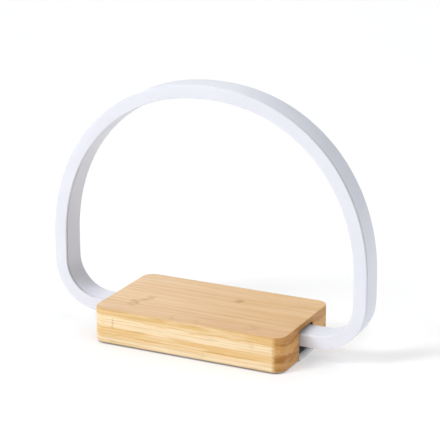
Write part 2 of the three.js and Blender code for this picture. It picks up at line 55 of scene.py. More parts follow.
# ---------------------------------------------------------------- sizes from the frame
WOOD_LOW, WOOD_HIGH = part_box("bamboo_housing")
HOUSING_LOW, HOUSING_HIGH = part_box("lamp_housing")
DIFFUSER_LOW, DIFFUSER_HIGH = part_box("lamp_diffuser")
SOCKET_LOW, SOCKET_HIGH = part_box("usb_socket_shell")
BUTTON_LOW, BUTTON_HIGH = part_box("lamp_button")

# shape values that a box doesn't tell, as the part has them
WOOD_CORNER = 8.7 * MM
WOOD_WALL = 7 * MM
WOOD_CEILING = 3.2 * MM
CAVITY_CORNER = 4 * MM
SLOT_SIDE = 1.15 * MM
SLOT_ABOVE = 1.9 * MM
TUBE = 9.6 * MM
TUBE_WALL = 1.6 * MM
ARCH_CORNER = 36.3 * MM
ARCH_SHOULDER = 64.1 * MM
CROWN_POWER = 2.1
TAIL_END = 48 * MM
DIFFUSER_FACE = 1.2 * MM
DIFFUSER_LEG = 1.2 * MM
RECESS_ROOM = 1.85 * MM
BUTTON_RADIUS = 4 * MM
BUTTON_SIDE = 0.2 * MM
BUTTON_STEM = 1.6 * MM
FLANGE_AHEAD = 3 * MM  # from the rear wall's inner face to the outer side of the button's flange
FLANGE_THICK = 1.3 * MM
POST_X, POST_Y = 64.5 * MM, 32 * MM
POST_RADIUS = 6 * MM
POST_FOOT = 4.5 * MM
CUP_POCKET = 6.6 * MM
PILOT = 1.55 * MM
PILOT_TOP = 13 * MM
GAP = 0.3 * MM

# the finer pieces' own shapes: rounded rims and lips, a dished button and a wider seam
SEAM_EXTRA = 0.45 * MM  # the eased lips make the seam round the light cover look wider
BLOCK_RIM = 0.6 * MM
BLOCK_EDGE = 0.25 * MM
BUTTON_RIM = 0.5 * MM
BUTTON_EASE = 0.2 * MM
DISH_DEPTH = 0.3 * MM
DISH_RISE = 0.35 * MM
DISH_EDGE = 0.06 * MM
FOOT_RIM = 0.4 * MM
FOOT_CENTRE = 0.1 * MM  # radius of the flat at a foot's axis, where its rings end
TUBE_REAR_EDGE = 1.6 * MM
TUBE_LIP = 0.22 * MM
DIFFUSER_EDGE = 0.7 * MM

# places worked out from the sizes
TUBE_FRONT = DIFFUSER_LOW.y
TUBE_REAR = HOUSING_HIGH.y
SLOT_TOP = HOUSING_LOW.z + TUBE + SLOT_ABOVE
CEILING = WOOD_HIGH.z - WOOD_CEILING
REAR_WALL = WOOD_HIGH.y - WOOD_WALL
USB_X = (SOCKET_LOW.x + SOCKET_HIGH.x) / 2
USB_Z = (SOCKET_LOW.z + SOCKET_HIGH.z) / 2
USB_WIDTH = SOCKET_HIGH.x - SOCKET_LOW.x
USB_HEIGHT = SOCKET_HIGH.z - SOCKET_LOW.z
BUTTON_CENTRE = ((BUTTON_LOW.x + BUTTON_HIGH.x) / 2, 0, (BUTTON_LOW.z + BUTTON_HIGH.z) / 2)
FLANGE_RADIUS = (BUTTON_HIGH.x - BUTTON_LOW.x) / 2


# ---------------------------------------------------------------- node graphs
MIX_FACTOR, MIX_A, MIX_B, MIX_RESULT = 0, 6, 7, 2  # the colour sockets of Blender's Mix node


class Graph:
    """A material's node graph. Its methods take sockets, numbers or tuples, and most return a socket."""

    def __init__(self, name):
        self.material = bpy.data.materials.new(name)
        self.material.use_nodes = True
        self.nodes = self.material.node_tree.nodes
        self.links = self.material.node_tree.links
        self.nodes.clear()
        self.shader = self.nodes.new("ShaderNodeBsdfPrincipled")
        output = self.nodes.new("ShaderNodeOutputMaterial")
        self.links.new(self.shader.outputs["BSDF"], output.inputs["Surface"])
        self.place = self.nodes.new("ShaderNodeTexCoord").outputs["Object"]

    def feed(self, socket, value):
        if isinstance(value, bpy.types.NodeSocket):
            self.links.new(value, socket)
        elif isinstance(value, tuple) and socket.type == "RGBA" and len(value) == 3:
            socket.default_value = (*value, 1)
        else:
            socket.default_value = value

    def set(self, name, value):
        self.feed(self.shader.inputs[name], value)

    def math(self, operation, a, b=0.0):
        node = self.nodes.new("ShaderNodeMath")
        node.operation = operation
        self.feed(node.inputs[0], a)
        self.feed(node.inputs[1], b)
        return node.outputs[0]

    def plus(self, a, b):
        return self.math("ADD", a, b)

    def minus(self, a, b):
        return self.math("SUBTRACT", a, b)

    def times(self, a, b):
        return self.math("MULTIPLY", a, b)

    def absolute(self, a):
        return self.math("ABSOLUTE", a)

    def split(self, vector):
        node = self.nodes.new("ShaderNodeSeparateXYZ")
        self.feed(node.inputs[0], vector)
        return node.outputs

    def join(self, x, y, z):
        node = self.nodes.new("ShaderNodeCombineXYZ")
        for socket, value in zip(node.inputs, (x, y, z)):
            self.feed(socket, value)
        return node.outputs[0]

    def normal(self):
        """The X, Y and Z of the surface's direction."""
        return self.split(self.nodes.new("ShaderNodeNewGeometry").outputs["Normal"])

    def stretch(self, scale, offset=(0, 0, 0)):
        """The place, scaled along each axis and then moved. Noise varies over about 1 / scale metres."""
        node = self.nodes.new("ShaderNodeMapping")
        self.feed(node.inputs["Vector"], self.place)
        node.inputs["Location"].default_value = offset
        node.inputs["Scale"].default_value = scale
        return node.outputs[0]

    def noise(self, vector, detail=2.0, roughness=0.5):
        node = self.nodes.new("ShaderNodeTexNoise")
        self.feed(node.inputs["Vector"], vector)
        node.inputs["Scale"].default_value = 1.0
        node.inputs["Detail"].default_value = detail
        node.inputs["Roughness"].default_value = roughness
        return node.outputs["Fac"]

    def cells(self, vector):
        node = self.nodes.new("ShaderNodeTexVoronoi")
        self.feed(node.inputs["Vector"], vector)
        node.inputs["Scale"].default_value = 1.0
        return node.outputs["Distance"]

    def span(self, value, low, high, to_low=0.0, to_high=1.0, smooth=True):
        """The value's run from low to high, turned into a run from to_low to to_high."""
        node = self.nodes.new("ShaderNodeMapRange")
        node.interpolation_type = "SMOOTHSTEP" if smooth else "LINEAR"
        for socket, number in zip(node.inputs, (value, low, high, to_low, to_high)):
            self.feed(socket, number)
        return node.outputs[0]

    def mix(self, share, a, b, blend="MIX"):
        node = self.nodes.new("ShaderNodeMix")
        node.data_type = "RGBA"
        node.blend_type = blend
        self.feed(node.inputs[MIX_FACTOR], share)
        self.feed(node.inputs[MIX_A], a)
        self.feed(node.inputs[MIX_B], b)
        return node.outputs[MIX_RESULT]

    def ramp(self, value, stops):
        node = self.nodes.new("ShaderNodeValToRGB")
        elements = node.color_ramp.elements
        while len(elements) < len(stops):
            elements.new(0.5)
        for element, (position, color) in zip(elements, stops):
            element.position = position
            element.color = (*color, 1)
        self.feed(node.inputs["Fac"], value)
        return node.outputs["Color"]

    def bump(self, height, distance, strength):
        node = self.nodes.new("ShaderNodeBump")
        node.inputs["Strength"].default_value = strength
        node.inputs["Distance"].default_value = distance
        self.feed(node.inputs["Height"], height)
        self.set("Normal", node.outputs["Normal"])


def band(g, value, centre, half_width, soft):
    """1 within half_width of centre, fading to 0 over soft."""
    return g.span(g.absolute(g.minus(value, centre)), half_width, half_width + soft, 1, 0)


def wander(g, scale, reach, offset=(0, 0, 0), spread=0.2, detail=2.0, roughness=0.5):
    """Noise that drifts between -reach and reach."""
    drift = g.noise(g.stretch(scale, offset), detail, roughness)
    return g.span(drift, 0.5 - spread, 0.5 + spread, -reach, reach)


# ---------------------------------------------------------------- bamboo's material
FRONT_LAYERS = [  # height in mm, colour, on the long sides
    (1.5, (0.70, 0.455, 0.195)),
    (2.4, (0.80, 0.60, 0.345)),
    (4.6, (0.85, 0.69, 0.47)),
    (6.6, (0.81, 0.60, 0.35)),
    (7.6, (0.77, 0.52, 0.23)),
    (8.2, (0.73, 0.46, 0.18)),
    (8.6, (0.58, 0.32, 0.105)),
    (9.1, (0.75, 0.49, 0.20)),
    (11.2, (0.79, 0.545, 0.26)),
    (13.4, (0.75, 0.495, 0.21)),
    (14.2, (0.85, 0.635, 0.375)),
    (17.4, (0.87, 0.695, 0.47)),
    (20.8, (0.86, 0.65, 0.39)),
    (21.5, (0.68, 0.42, 0.155)),
    (22.4, (0.73, 0.48, 0.20)),
    (25.0, (0.75, 0.50, 0.22)),
    (26.8, (0.66, 0.40, 0.15)),
]
END_LAYERS = [  # height in mm, colour, on the end grain
    (1.5, (0.45, 0.225, 0.06)),
    (4.0, (0.57, 0.30, 0.095)),
    (6.9, (0.53, 0.27, 0.08)),
    (7.5, (0.42, 0.18, 0.042)),
    (13.0, (0.47, 0.205, 0.05)),
    (13.8, (0.68, 0.38, 0.135)),
    (19.6, (0.65, 0.345, 0.11)),
    (20.6, (0.46, 0.20, 0.05)),
    (26.8, (0.55, 0.265, 0.078)),
]
TOP_DEEP, TOP_PALE = (0.735, 0.475, 0.235), (0.80, 0.565, 0.325)
TOP_FRONT = (0.735, 0.47, 0.285)
TOP_LEFT = (0.87, 0.66, 0.45)
TOP_STRIP = (0.66, 0.395, 0.18)
TOP_FIBRE = (0.60, 0.345, 0.15)
SIDE_FLAME = (0.95, 0.79, 0.56)
SIDE_STREAK = (0.74, 0.455, 0.165)
SIDE_FIBRE = (0.66, 0.38, 0.12)
SIDE_DARK_LINE, SIDE_PALE_LINE = (0.67, 0.42, 0.15), (0.95, 0.80, 0.56)
END_PORE = (0.34, 0.14, 0.035)
END_STREAK = (0.70, 0.42, 0.17)
END_REAR = (0.68, 0.43, 0.24)
GOLDEN_TURN = (0.60, 0.35, 0.10)
FLECK = (0.46, 0.25, 0.10)
NODE_MARK = (0.44, 0.225, 0.085)
# the colour of the painted shade inside the arch slots
SLOT_SHADE = (0.12, 0.06, 0.02)

# where the cane's nodes cross the strips of the top
TOP_NODES = [  # middle x and y, half sizes in mm, strength
    (-52, -20, 4.2, 5.0, 0.62),
    (-46.5, -9, 3.6, 4.6, 0.5),
    (-13, -36, 2.6, 3.6, 0.4),
    (7, -37.5, 2.0, 2.6, 0.25),
    (47.5, -31, 3.4, 2.8, 0.4),
    (15, 15, 3.6, 2.6, 0.7),
    (36, 24, 1.2, 4.0, 0.2),
]

# where they cross the long sides
SIDE_NODES = [  # middle x, half width, low and high z in mm, strength
    (-58, 0.1, 13.5, 20.5, 0.32),
    (52, 1.2, 17.0, 19.0, 0.16),
    (14, 0.2, 3.4, 6.4, 0.08),
]


def layers(g, height, rows):
    """The pressed layers' colours, from rows of a height in mm and a colour."""
    top = WOOD_HIGH.z / MM
    stops = [(row_height / top, color) for row_height, color in rows]
    return g.ramp(g.math("DIVIDE", height, WOOD_HIGH.z), stops)


def top_grain(g, x, y, fibre, broad):
    """Fine strips side by side, pinker in patches towards the front and paler towards the left."""
    strips = g.noise(g.stretch((4, 330, 0), (0, 0, 3)), roughness=0.7)
    patches = g.span(g.noise(g.stretch((20, 70, 0))), 0.35, 0.6)
    frontward = g.span(y, -12 * MM, -36 * MM, 0, 0.75)
    leftward = g.span(x, 35 * MM, -70 * MM, 0, 0.6, smooth=False)
    color = g.mix(g.span(broad, 0.3, 0.7), TOP_DEEP, TOP_PALE)
    color = g.mix(g.times(frontward, patches), color, TOP_FRONT)
    color = g.mix(leftward, color, TOP_LEFT)
    color = g.mix(g.span(strips, 0.42, 0.68, 0, 0.5), color, TOP_STRIP)
    return g.mix(g.span(fibre, 0.45, 0.8, 0, 0.45), color, TOP_FIBRE)


def side_grain(g, z, fibre, broad):
    """The long sides' layers, streaked along X. The glue lines between them wander, the upper ones most."""
    slow = wander(g, (17, 12, 0), 1.5 * MM, spread=0.25, detail=3, roughness=0.6)
    quick = wander(g, (75, 40, 60), 0.3 * MM, (4, 0, 0))
    share = g.span(z, 9 * MM, 19 * MM, 0.3, 1.0)
    flame = g.noise(g.stretch((34, 60, 330), (1, 0, 6)))
    lines = g.noise(g.stretch((7, 40, 900), (3, 0, 9)), roughness=0.6)
    color = layers(g, g.plus(z, g.times(g.plus(slow, quick), share)), FRONT_LAYERS)
    color = g.mix(g.span(flame, 0.42, 0.62, 0.0, 0.38), color, SIDE_FLAME)
    color = g.mix(g.span(broad, 0.5, 0.72, 0.0, 0.4), color, SIDE_STREAK)
    color = g.mix(g.span(fibre, 0.5, 0.8, 0, 0.4), color, SIDE_FIBRE)
    color = g.mix(g.span(lines, 0.52, 0.64, 0, 0.4), color, SIDE_DARK_LINE)
    return g.mix(g.span(lines, 0.46, 0.36, 0, 0.3), color, SIDE_PALE_LINE)


def end_grain(g, y, z, pores):
    """The ends' layers with fine pores and paler streaks, and paler again towards the rear."""
    streaks = g.noise(g.stretch((40, 70, 330)))
    color = layers(g, g.plus(z, wander(g, (0, 55, 0), 1.9 * MM, (3, 1, 0), spread=0.25)), END_LAYERS)
    color = g.mix(g.span(pores, 0.25, 0.6, 0.3, 0.0), color, END_PORE)
    color = g.mix(g.span(streaks, 0.4, 0.7, 0, 0.4), color, END_STREAK)
    return g.mix(g.span(y, 8 * MM, 16 * MM, 0, 0.35), color, END_REAR)


def turn_corner(g, x, endward, side, end):
    """The end grain sets in raggedly as a corner turns, and on the right a golden line runs ahead of it."""
    ragged = g.plus(endward, wander(g, (0, 0, 260), 0.05, (5, 2, 0)))
    right_end = g.span(ragged, 0.16, 0.44)
    left_end = g.span(ragged, 0.84, 0.98)
    golden = g.times(band(g, ragged, 0.24, 0.04, 0.14), g.span(x, 0, 1 * MM, 0, 0.45))
    side = g.mix(golden, side, GOLDEN_TURN)
    return g.mix(g.span(x, -1 * MM, 1 * MM, left_end, right_end), side, end)


def bamboo_nodes(g, x, y, z, upward, endward):
    """How dark the cane's nodes make each point."""
    speckle = g.span(g.noise(g.stretch((150, 300, 300)), 3, 0.6), 0.32, 0.7)
    x_top = g.plus(x, wander(g, (0, 150, 0), 2.2 * MM, (2, 0, 0)))
    total = 0.0
    for centre_x, centre_y, half_x, half_y, share in TOP_NODES:
        across = band(g, x_top, centre_x * MM, half_x * MM * 0.4, half_x * MM)
        along = band(g, y, centre_y * MM, half_y * MM, 3 * MM)
        total = g.plus(total, g.times(g.times(across, along), g.times(speckle, share)))
    total = g.times(total, upward)
    side = g.minus(1.0, g.math("MAXIMUM", upward, endward))
    x_side = g.plus(x, wander(g, (0, 0, 240), 0.9 * MM))
    for centre_x, half_x, low, high, share in SIDE_NODES:
        line = band(g, x_side, centre_x * MM, half_x * MM, 1.2 * MM)
        reach = band(g, z, (low + high) / 2 * MM, (high - low) / 2 * MM, 1.2 * MM)
        total = g.plus(total, g.times(g.times(line, reach), g.times(side, share)))
    return total


def painted_slot_shade(g, x, y, z):
    """1 inside the arch slots, where shade is painted dark onto the wood, and 0 elsewhere."""
    slot_half = (TUBE_REAR - TUBE_FRONT) / 2 + SLOT_SIDE
    across = band(g, y, (TUBE_FRONT + TUBE_REAR) / 2, slot_half, 0.15 * MM)
    under = g.span(z, SLOT_TOP + 0.1 * MM, SLOT_TOP + 0.2 * MM, 1, 0)
    inside = g.span(g.absolute(x), WOOD_HIGH.x - 0.5 * MM, WOOD_HIGH.x - 0.2 * MM, 1, 0)
    return g.times(g.times(across, under), inside)


def make_bamboo():
    """Pressed bamboo, fibres along X: strips on top, layers on the long sides, end grain at the ends."""
    g = Graph("pressed_bamboo")
    x, y, z = g.split(g.place)
    normal = g.normal()
    upward, endward = g.absolute(normal[2]), g.absolute(normal[0])
    fibre = g.noise(g.stretch((16, 620, 780)), 3, 0.6)
    broad = g.noise(g.stretch((11, 150, 230), (0, 5, 2)), 3, 0.55)
    fleck = g.span(g.noise(g.stretch((55, 1400, 1700), (7, 0, 0)), 1), 0.62, 0.74)
    pores = g.cells(g.stretch((300, 1250, 1250)))
    slot_shade = painted_slot_shade(g, x, y, z)

    upright = turn_corner(g, x, endward, side_grain(g, z, fibre, broad), end_grain(g, y, z, pores))
    color = g.mix(g.span(upward, 0.5, 0.8), upright, top_grain(g, x, y, fibre, broad))
    color = g.mix(g.times(fleck, 0.3), color, FLECK)
    color = g.mix(bamboo_nodes(g, x, y, z, upward, endward), color, NODE_MARK)
    # painted shade inside the slots
    color = g.mix(g.times(slot_shade, 0.85), color, SLOT_SHADE)
    g.set("Base Color", color)
    g.set("Roughness", g.span(fibre, 0.3, 0.8, 0.5, 0.66))
    # no highlights where the slots' shade is painted
    g.set("Specular IOR Level", g.times(g.minus(1.0, slot_shade), 0.22))
    g.bump(g.plus(g.times(fibre, 0.6), g.times(pores, g.times(endward, 0.5))), 0.12 * MM, 0.5)
    return g.material


# ---------------------------------------------------------------- other materials
# the colour of the painted shade in the seam round the light cover
SEAM_SHADE = (0.16, 0.165, 0.19)
GLOW_DEPTH = 1.2 * MM  # how far light spreads inside the opal plastic


def make_plastic(name, color, shade, roughness, grain=0.02, subsurface=0.0, tone=None):
    """Moulded plastic: a fine spark-eroded grain, in mm, and faint tone changes where the melt flowed."""
    g = Graph(name)
    flow = g.noise(g.stretch((18, 18, 18)))
    base = g.mix(g.span(flow, 0.35, 0.65), color, shade)
    g.set("Base Color", tone(g, base) if tone else base)
    rubbed = g.noise(g.stretch((60, 60, 60)))
    g.set("Roughness", g.span(rubbed, 0.3, 0.7, roughness - 0.04, roughness + 0.05))
    g.set("Specular IOR Level", 0.5)
    if subsurface:
        g.set("Subsurface Weight", subsurface)
        g.set("Subsurface Radius", (1.0, 1.0, 1.0))
        g.set("Subsurface Scale", GLOW_DEPTH)
    g.bump(g.noise(g.stretch((2600, 2600, 2600))), grain * MM, 0.6)
    return g.material


def seam_painted_shade(g, base):
    """Painted shade in the seam between the light cover and its channel."""
    y = g.split(g.place)[1]
    half_seam = (GAP + SEAM_EXTRA) / 2
    # the seam's band of the surface, painted dark as shade
    in_seam = band(g, y, DIFFUSER_LOW.y + DIFFUSER_FACE + half_seam, half_seam, 0.04 * MM)
    return g.mix(g.times(in_seam, 0.85), base, SEAM_SHADE)


def tray_painted_shade(g, base):
    """Painted shade on the tray: darker on top and along the long sides, and on its end lips a painted fade
    of light, pale at the foot and shaded higher up.
    """
    normal = g.normal()
    z = g.split(g.place)[2]
    # painted light and shade on the end lips: pale at the foot, darker higher up
    lip = g.span(z, 1 * MM, 5.5 * MM, 0.88, 0.37)
    endward = g.span(g.absolute(normal[0]), 0.5, 0.8)
    side = g.plus(g.times(endward, g.minus(lip, 0.5)), 0.5)
    # painted shade on the faces that look up, under the tube
    shade = g.times(side, g.span(normal[2], 0.5, 0.8, 1.0, 0.57))
    return g.mix(1.0, base, g.join(shade, shade, shade), "MULTIPLY")


def make_metal(name, color, shade, roughness):
    """Plated metal with fine turning marks."""
    g = Graph(name)
    marks = g.noise(g.stretch((900, 900, 5200)))
    g.set("Base Color", g.mix(g.span(marks, 0.3, 0.7), color, shade))
    g.set("Metallic", 1.0)
    g.set("Roughness", g.span(marks, 0.3, 0.7, roughness - 0.07, roughness + 0.08))
    g.bump(marks, 0.01 * MM, 0.4)
    return g.material


def make_rubber():
    """Black rubber, dusty in patches."""
    g = Graph("foot_rubber")
    dust = g.noise(g.stretch((500, 500, 500)), 4, 0.7)
    g.set("Base Color", g.mix(g.span(dust, 0.4, 0.75), (0.045, 0.045, 0.046), (0.12, 0.12, 0.12)))
    g.set("Roughness", g.span(dust, 0.3, 0.7, 0.72, 0.9))
    g.bump(dust, 0.05 * MM, 0.5)
    return g.material


def make_board():
    """Solder mask over copper tracks."""
    g = Graph("circuit_board")
    tracks = g.span(g.cells(g.stretch((420, 420, 20))), 0.28, 0.34)
    g.set("Base Color", g.mix(tracks, (0.02, 0.13, 0.06), (0.03, 0.21, 0.10)))
    g.set("Roughness", g.span(tracks, 0, 1, 0.28, 0.4))
    g.bump(tracks, 0.05 * MM, 0.5)
    return g.material


MATERIALS = {
    "bamboo": make_bamboo(),
    # both white plastics carry painted shade in the seam round the light cover
    "white_plastic": make_plastic(
        "satin_white_plastic", (0.695, 0.715, 0.795), (0.715, 0.735, 0.81), 0.42, tone=seam_painted_shade
    ),
    "opal_plastic": make_plastic(
        "opal_plastic", (0.755, 0.765, 0.835), (0.775, 0.785, 0.85), 0.36, 0.012, 0.25, seam_painted_shade
    ),
    # pale grey plastic, with painted shade on its top and sides
    "grey_plastic": make_plastic(
        "grey_plastic", (0.80, 0.79, 0.78), (0.85, 0.84, 0.83), 0.58, 0.05, tone=tray_painted_shade
    ),
    "black_plastic": make_plastic("black_plastic", (0.018, 0.018, 0.02), (0.03, 0.03, 0.032), 0.45, 0.03),
    "rubber": make_rubber(),
    "steel": make_metal("plated_steel", (0.56, 0.57, 0.58), (0.48, 0.485, 0.49), 0.3),
    "copper": make_metal("enamelled_copper", (0.72, 0.34, 0.16), (0.60, 0.26, 0.11), 0.34),
    "ferrite": make_plastic("ferrite", (0.035, 0.035, 0.038), (0.06, 0.06, 0.062), 0.7, 0.06),
    "board_green": make_board(),
    "strip_white": make_plastic("strip_film", (0.82, 0.80, 0.70), (0.86, 0.84, 0.75), 0.4, 0.01),
    "red_wire": make_plastic("red_insulation", (0.45, 0.03, 0.025), (0.52, 0.045, 0.03), 0.38, 0.01),
    "black_wire": make_plastic("black_insulation", (0.015, 0.015, 0.018), (0.03, 0.03, 0.03), 0.38, 0.01),
}
for part in frame["record"]["subparts"]:
    node = frame["nodes"][part["node"]]
    node.data.materials.clear()
    node.data.materials.append(MATERIALS[part["material_slot"]])


# ---------------------------------------------------------------- mesh making
SHARP_ANGLE = math.radians(35)
SOFTENED_ANGLE = math.radians(40)


def make_piece(name, mesh, slot, body="pad"):
    """Links a mesh as a piece that rides on a CAD body, smooth apart from its sharp edges."""
    piece = bpy.data.objects.new(name, mesh)
    bpy.context.scene.collection.objects.link(piece)
    mesh.shade_smooth()
    mesh.set_sharp_from_angle(angle=SHARP_ANGLE)
    mesh.materials.clear()
    mesh.materials.append(MATERIALS[slot])
    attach(piece, body)
    return piece


def mesh_from(name, rings):
    """A closed mesh through equal rings of points, capped at both ends."""
    bm = bmesh.new()
    loops = [[bm.verts.new(point) for point in ring] for ring in rings]
    count = len(loops[0])
    for a, b in zip(loops, loops[1:]):
        for i in range(count):
            j = (i + 1) % count
            bm.faces.new((a[i], a[j], b[j], b[i]))
    bm.faces.new(loops[0][::-1])
    bm.faces.new(loops[-1])
    bmesh.ops.recalc_face_normals(bm, faces=bm.faces)
    mesh = bpy.data.meshes.new(name)
    bm.to_mesh(mesh)
    bm.free()
    return mesh


def arc(centre_a, centre_b, radius, start, end, steps):
    """Points on an arc in a plane, angles in degrees."""
    points = []
    for i in range(steps + 1):
        angle = math.radians(start + (end - start) * i / steps)
        points.append((centre_a + radius * math.cos(angle), centre_b + radius * math.sin(angle)))
    return points


def rounded_rectangle(low, high, radius, steps=14):
    """The outline of a rounded rectangle between two corners, anticlockwise."""
    (x0, y0), (x1, y1) = low, high
    points = []
    for cx, cy, start in (
        (x1 - radius, y1 - radius, 0),
        (x0 + radius, y1 - radius, 90),
        (x0 + radius, y0 + radius, 180),
        (x1 - radius, y0 + radius, 270),
    ):
        points += arc(cx, cy, radius, start, start + 90, steps)
    return points


def inset_outline(low, high, radius, inset, steps=14):
    """A rounded rectangle's outline, drawn in by inset all round."""
    return rounded_rectangle(
        (low[0] + inset, low[1] + inset), (high[0] - inset, high[1] - inset), radius - inset, steps
    )


def box_outline(a0, a1, b0, b1):
    """The outline of a rectangle."""
    return [(a0, b0), (a1, b0), (a1, b1), (a0, b1)]


def stadium(width, height, centre_x, centre_z):
    """The outline of a slot with half-round ends."""
    radius = height / 2 - 0.01 * MM  # a hair under half, so that its corners don't meet
    low = (centre_x - width / 2, centre_z - height / 2)
    high = (centre_x + width / 2, centre_z + height / 2)
    return rounded_rectangle(low, high, radius, 10)


def round_plate(name, low, high, radius, bottom, top, rim):
    """A plate with a rounded outline, standing from bottom to top, its rims rounded."""
    profile = arc(rim, bottom + rim, rim, 270, 180, 4) + arc(rim, top - rim, rim, 180, 90, 4)
    rings = []
    for inset, z in profile:
        rings.append([(x, y, z) for x, y in inset_outline(low, high, radius, inset, 18)])
    return mesh_from(name, rings)


def straight_plate(name, outline, start, end, axis="z"):
    """An outline pushed straight from start to end, along Z, or along Y with the outline in X and Z."""
    if axis == "z":
        rings = [[(a, b, at) for a, b in outline] for at in (start, end)]
    else:
        rings = [[(a, at, b) for a, b in outline] for at in (start, end)]
    return mesh_from(name, rings)


def lathe(name, centre, profile, axis="z", steps=48):
    """A round piece about an axis through centre. The profile is (radius, distance along the axis)."""
    rings = []
    for radius, along in profile:
        ring = []
        for i in range(steps):
            angle = 2 * math.pi * i / steps
            a, b = radius * math.cos(angle), radius * math.sin(angle)
            ring.append((a, b, along) if axis == "z" else (a, along, b))
        rings.append([tuple(Vector(centre) + Vector(point)) for point in ring])
    return mesh_from(name, rings)


def cylinder(name, centre, radius, start, end, axis="z", steps=48):
    """A straight round bar from start to end along its axis."""
    return lathe(name, centre, [(radius, start), (radius, end)], axis, steps)


def boolean(mesh, cutters, operation="DIFFERENCE"):
    """The mesh after each cutter mesh is taken away from it, or joined to it."""
    body = bpy.data.objects.new("boolean_body", mesh)
    bpy.context.scene.collection.objects.link(body)
    tools = []
    for cutter in cutters:
        tool = bpy.data.objects.new("boolean_tool", cutter)
        bpy.context.scene.collection.objects.link(tool)
        modifier = body.modifiers.new("cut", "BOOLEAN")
        modifier.operation = operation
        modifier.solver = "EXACT"
        modifier.object = tool
        tools.append(tool)
    bpy.context.view_layer.update()
    graph = bpy.context.evaluated_depsgraph_get()
    result = bpy.data.meshes.new_from_object(body.evaluated_get(graph))
    for extra in [body, *tools]:
        bpy.data.objects.remove(extra)
    return result


def soften(piece, width):
    """Breaks the sharp edges."""
    modifier = piece.modifiers.new("edges", "BEVEL")
    modifier.width = width
    modifier.segments = 2
    modifier.limit_method = "ANGLE"
    modifier.angle_limit = SOFTENED_ANGLE
    modifier.harden_normals = True


# ---------------------------------------------------------------- block, button and feet
OVERRUN = 1 * MM  # how far a cutter reaches past what it cuts
RECESS_OVERLAP = 0.1 * MM  # how far the inlet's opening is cut into its recess


def slot_cutters():
    """Cutters for the slot in each end, which is open below."""
    cutters = []
    for end in (-1, 1):
        a, b = sorted((end * (WOOD_HIGH.x - WOOD_WALL - OVERRUN), end * (WOOD_HIGH.x + OVERRUN)))
        outline = box_outline(a, b, TUBE_FRONT - SLOT_SIDE, TUBE_REAR + SLOT_SIDE)
        cutters.append(straight_plate("slot", outline, -OVERRUN, SLOT_TOP))
    return cutters


def rear_cutters():
    """Cutters for the inlet's recess and opening, and for the button's hole and its flange's pocket."""
    inside = REAR_WALL - OVERRUN
    outside = WOOD_HIGH.y + OVERRUN
    recess = stadium(USB_WIDTH + 2 * RECESS_ROOM, USB_HEIGHT + 2 * RECESS_ROOM, USB_X, USB_Z)
    opening = stadium(USB_WIDTH + 2 * GAP, USB_HEIGHT + 2 * GAP, USB_X, USB_Z)
    pocket_end = REAR_WALL + FLANGE_AHEAD + GAP
    return [
        straight_plate("recess", recess, SOCKET_HIGH.y, outside, "y"),
        straight_plate("opening", opening, inside, SOCKET_HIGH.y + RECESS_OVERLAP, "y"),
        cylinder("button_hole", BUTTON_CENTRE, BUTTON_RADIUS + BUTTON_SIDE, inside, outside, "y"),
        cylinder("button_pocket", BUTTON_CENTRE, FLANGE_RADIUS + GAP, inside, pocket_end, "y"),
    ]


def make_block():
    """The hollow block, with a post and pilot hole in each corner over a pocket for the cover's cup."""
    low, high = (WOOD_LOW.x, WOOD_LOW.y), (WOOD_HIGH.x, WOOD_HIGH.y)
    block = round_plate("block", low, high, WOOD_CORNER, WOOD_LOW.z, WOOD_HIGH.z, BLOCK_RIM)
    inner = inset_outline(low, high, CAVITY_CORNER + WOOD_WALL, WOOD_WALL)
    hollow = straight_plate("hollow", inner, -OVERRUN, CEILING)
    posts, bores = [], []
    for x in (-POST_X, POST_X):
        for y in (-POST_Y, POST_Y):
            centre = (x, y, 0)
            posts.append(cylinder("post", centre, POST_RADIUS, POST_FOOT, CEILING + OVERRUN))
            bores.append(cylinder("cup_pocket", centre, CUP_POCKET, -OVERRUN, POST_FOOT))
            bores.append(cylinder("pilot", centre, PILOT, POST_FOOT - OVERRUN, PILOT_TOP, steps=24))
    hollowed = boolean(block, [hollow, *slot_cutters(), *rear_cutters()])
    posted = boolean(hollowed, posts, "UNION")
    piece = make_piece("bamboo_block", boolean(posted, bores), "bamboo")
    soften(piece, BLOCK_EDGE)
    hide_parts("bamboo_housing")


def make_button():
    """The lamp's cap: a stem, a flange behind the wood, and a round face dished for the fingertip."""
    face = BUTTON_HIGH.y
    flange_outer = REAR_WALL + FLANGE_AHEAD
    flange_inner = flange_outer - FLANGE_THICK
    profile = [(BUTTON_STEM, BUTTON_LOW.y), (BUTTON_STEM, flange_inner)]
    profile += [(FLANGE_RADIUS - BUTTON_EASE, flange_inner), (FLANGE_RADIUS, flange_inner + BUTTON_EASE)]
    profile += [(FLANGE_RADIUS, flange_outer - BUTTON_EASE), (FLANGE_RADIUS - BUTTON_EASE, flange_outer)]
    profile += [(BUTTON_RADIUS, flange_outer)]
    profile += arc(BUTTON_RADIUS - BUTTON_RIM, face - BUTTON_RIM, BUTTON_RIM, 0, 90, 6)
    profile += [(BUTTON_RADIUS - 2 * BUTTON_RIM, face - DISH_EDGE)]
    for share in (0.55, 0.35, 0.15, 0.02):
        profile.append((share * BUTTON_RADIUS, face - DISH_DEPTH + DISH_RISE * share * share))
    mesh = lathe("button_cap", BUTTON_CENTRE, profile, "y", 64)
    piece = make_piece("button_cap", mesh, "white_plastic", "lamp_button")
    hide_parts("lamp_button")


def make_feet():
    """Round rubber feet with eased rims."""
    for corner in ("front_left", "rear_left", "front_right", "rear_right"):
        low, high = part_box("foot_" + corner)
        radius = (high.x - low.x) / 2
        profile = [(FOOT_CENTRE, 0.0)]
        profile += arc(radius - FOOT_RIM, FOOT_RIM, FOOT_RIM, 270, 360, 5)
        profile += [(radius, high.z), (FOOT_CENTRE, high.z)]
        centre = ((low.x + high.x) / 2, (low.y + high.y) / 2, 0)
        piece = make_piece("foot_pad_" + corner, lathe("foot_pad", centre, profile), "rubber")
        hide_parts("foot_" + corner)


make_block()
make_button()
make_feet()


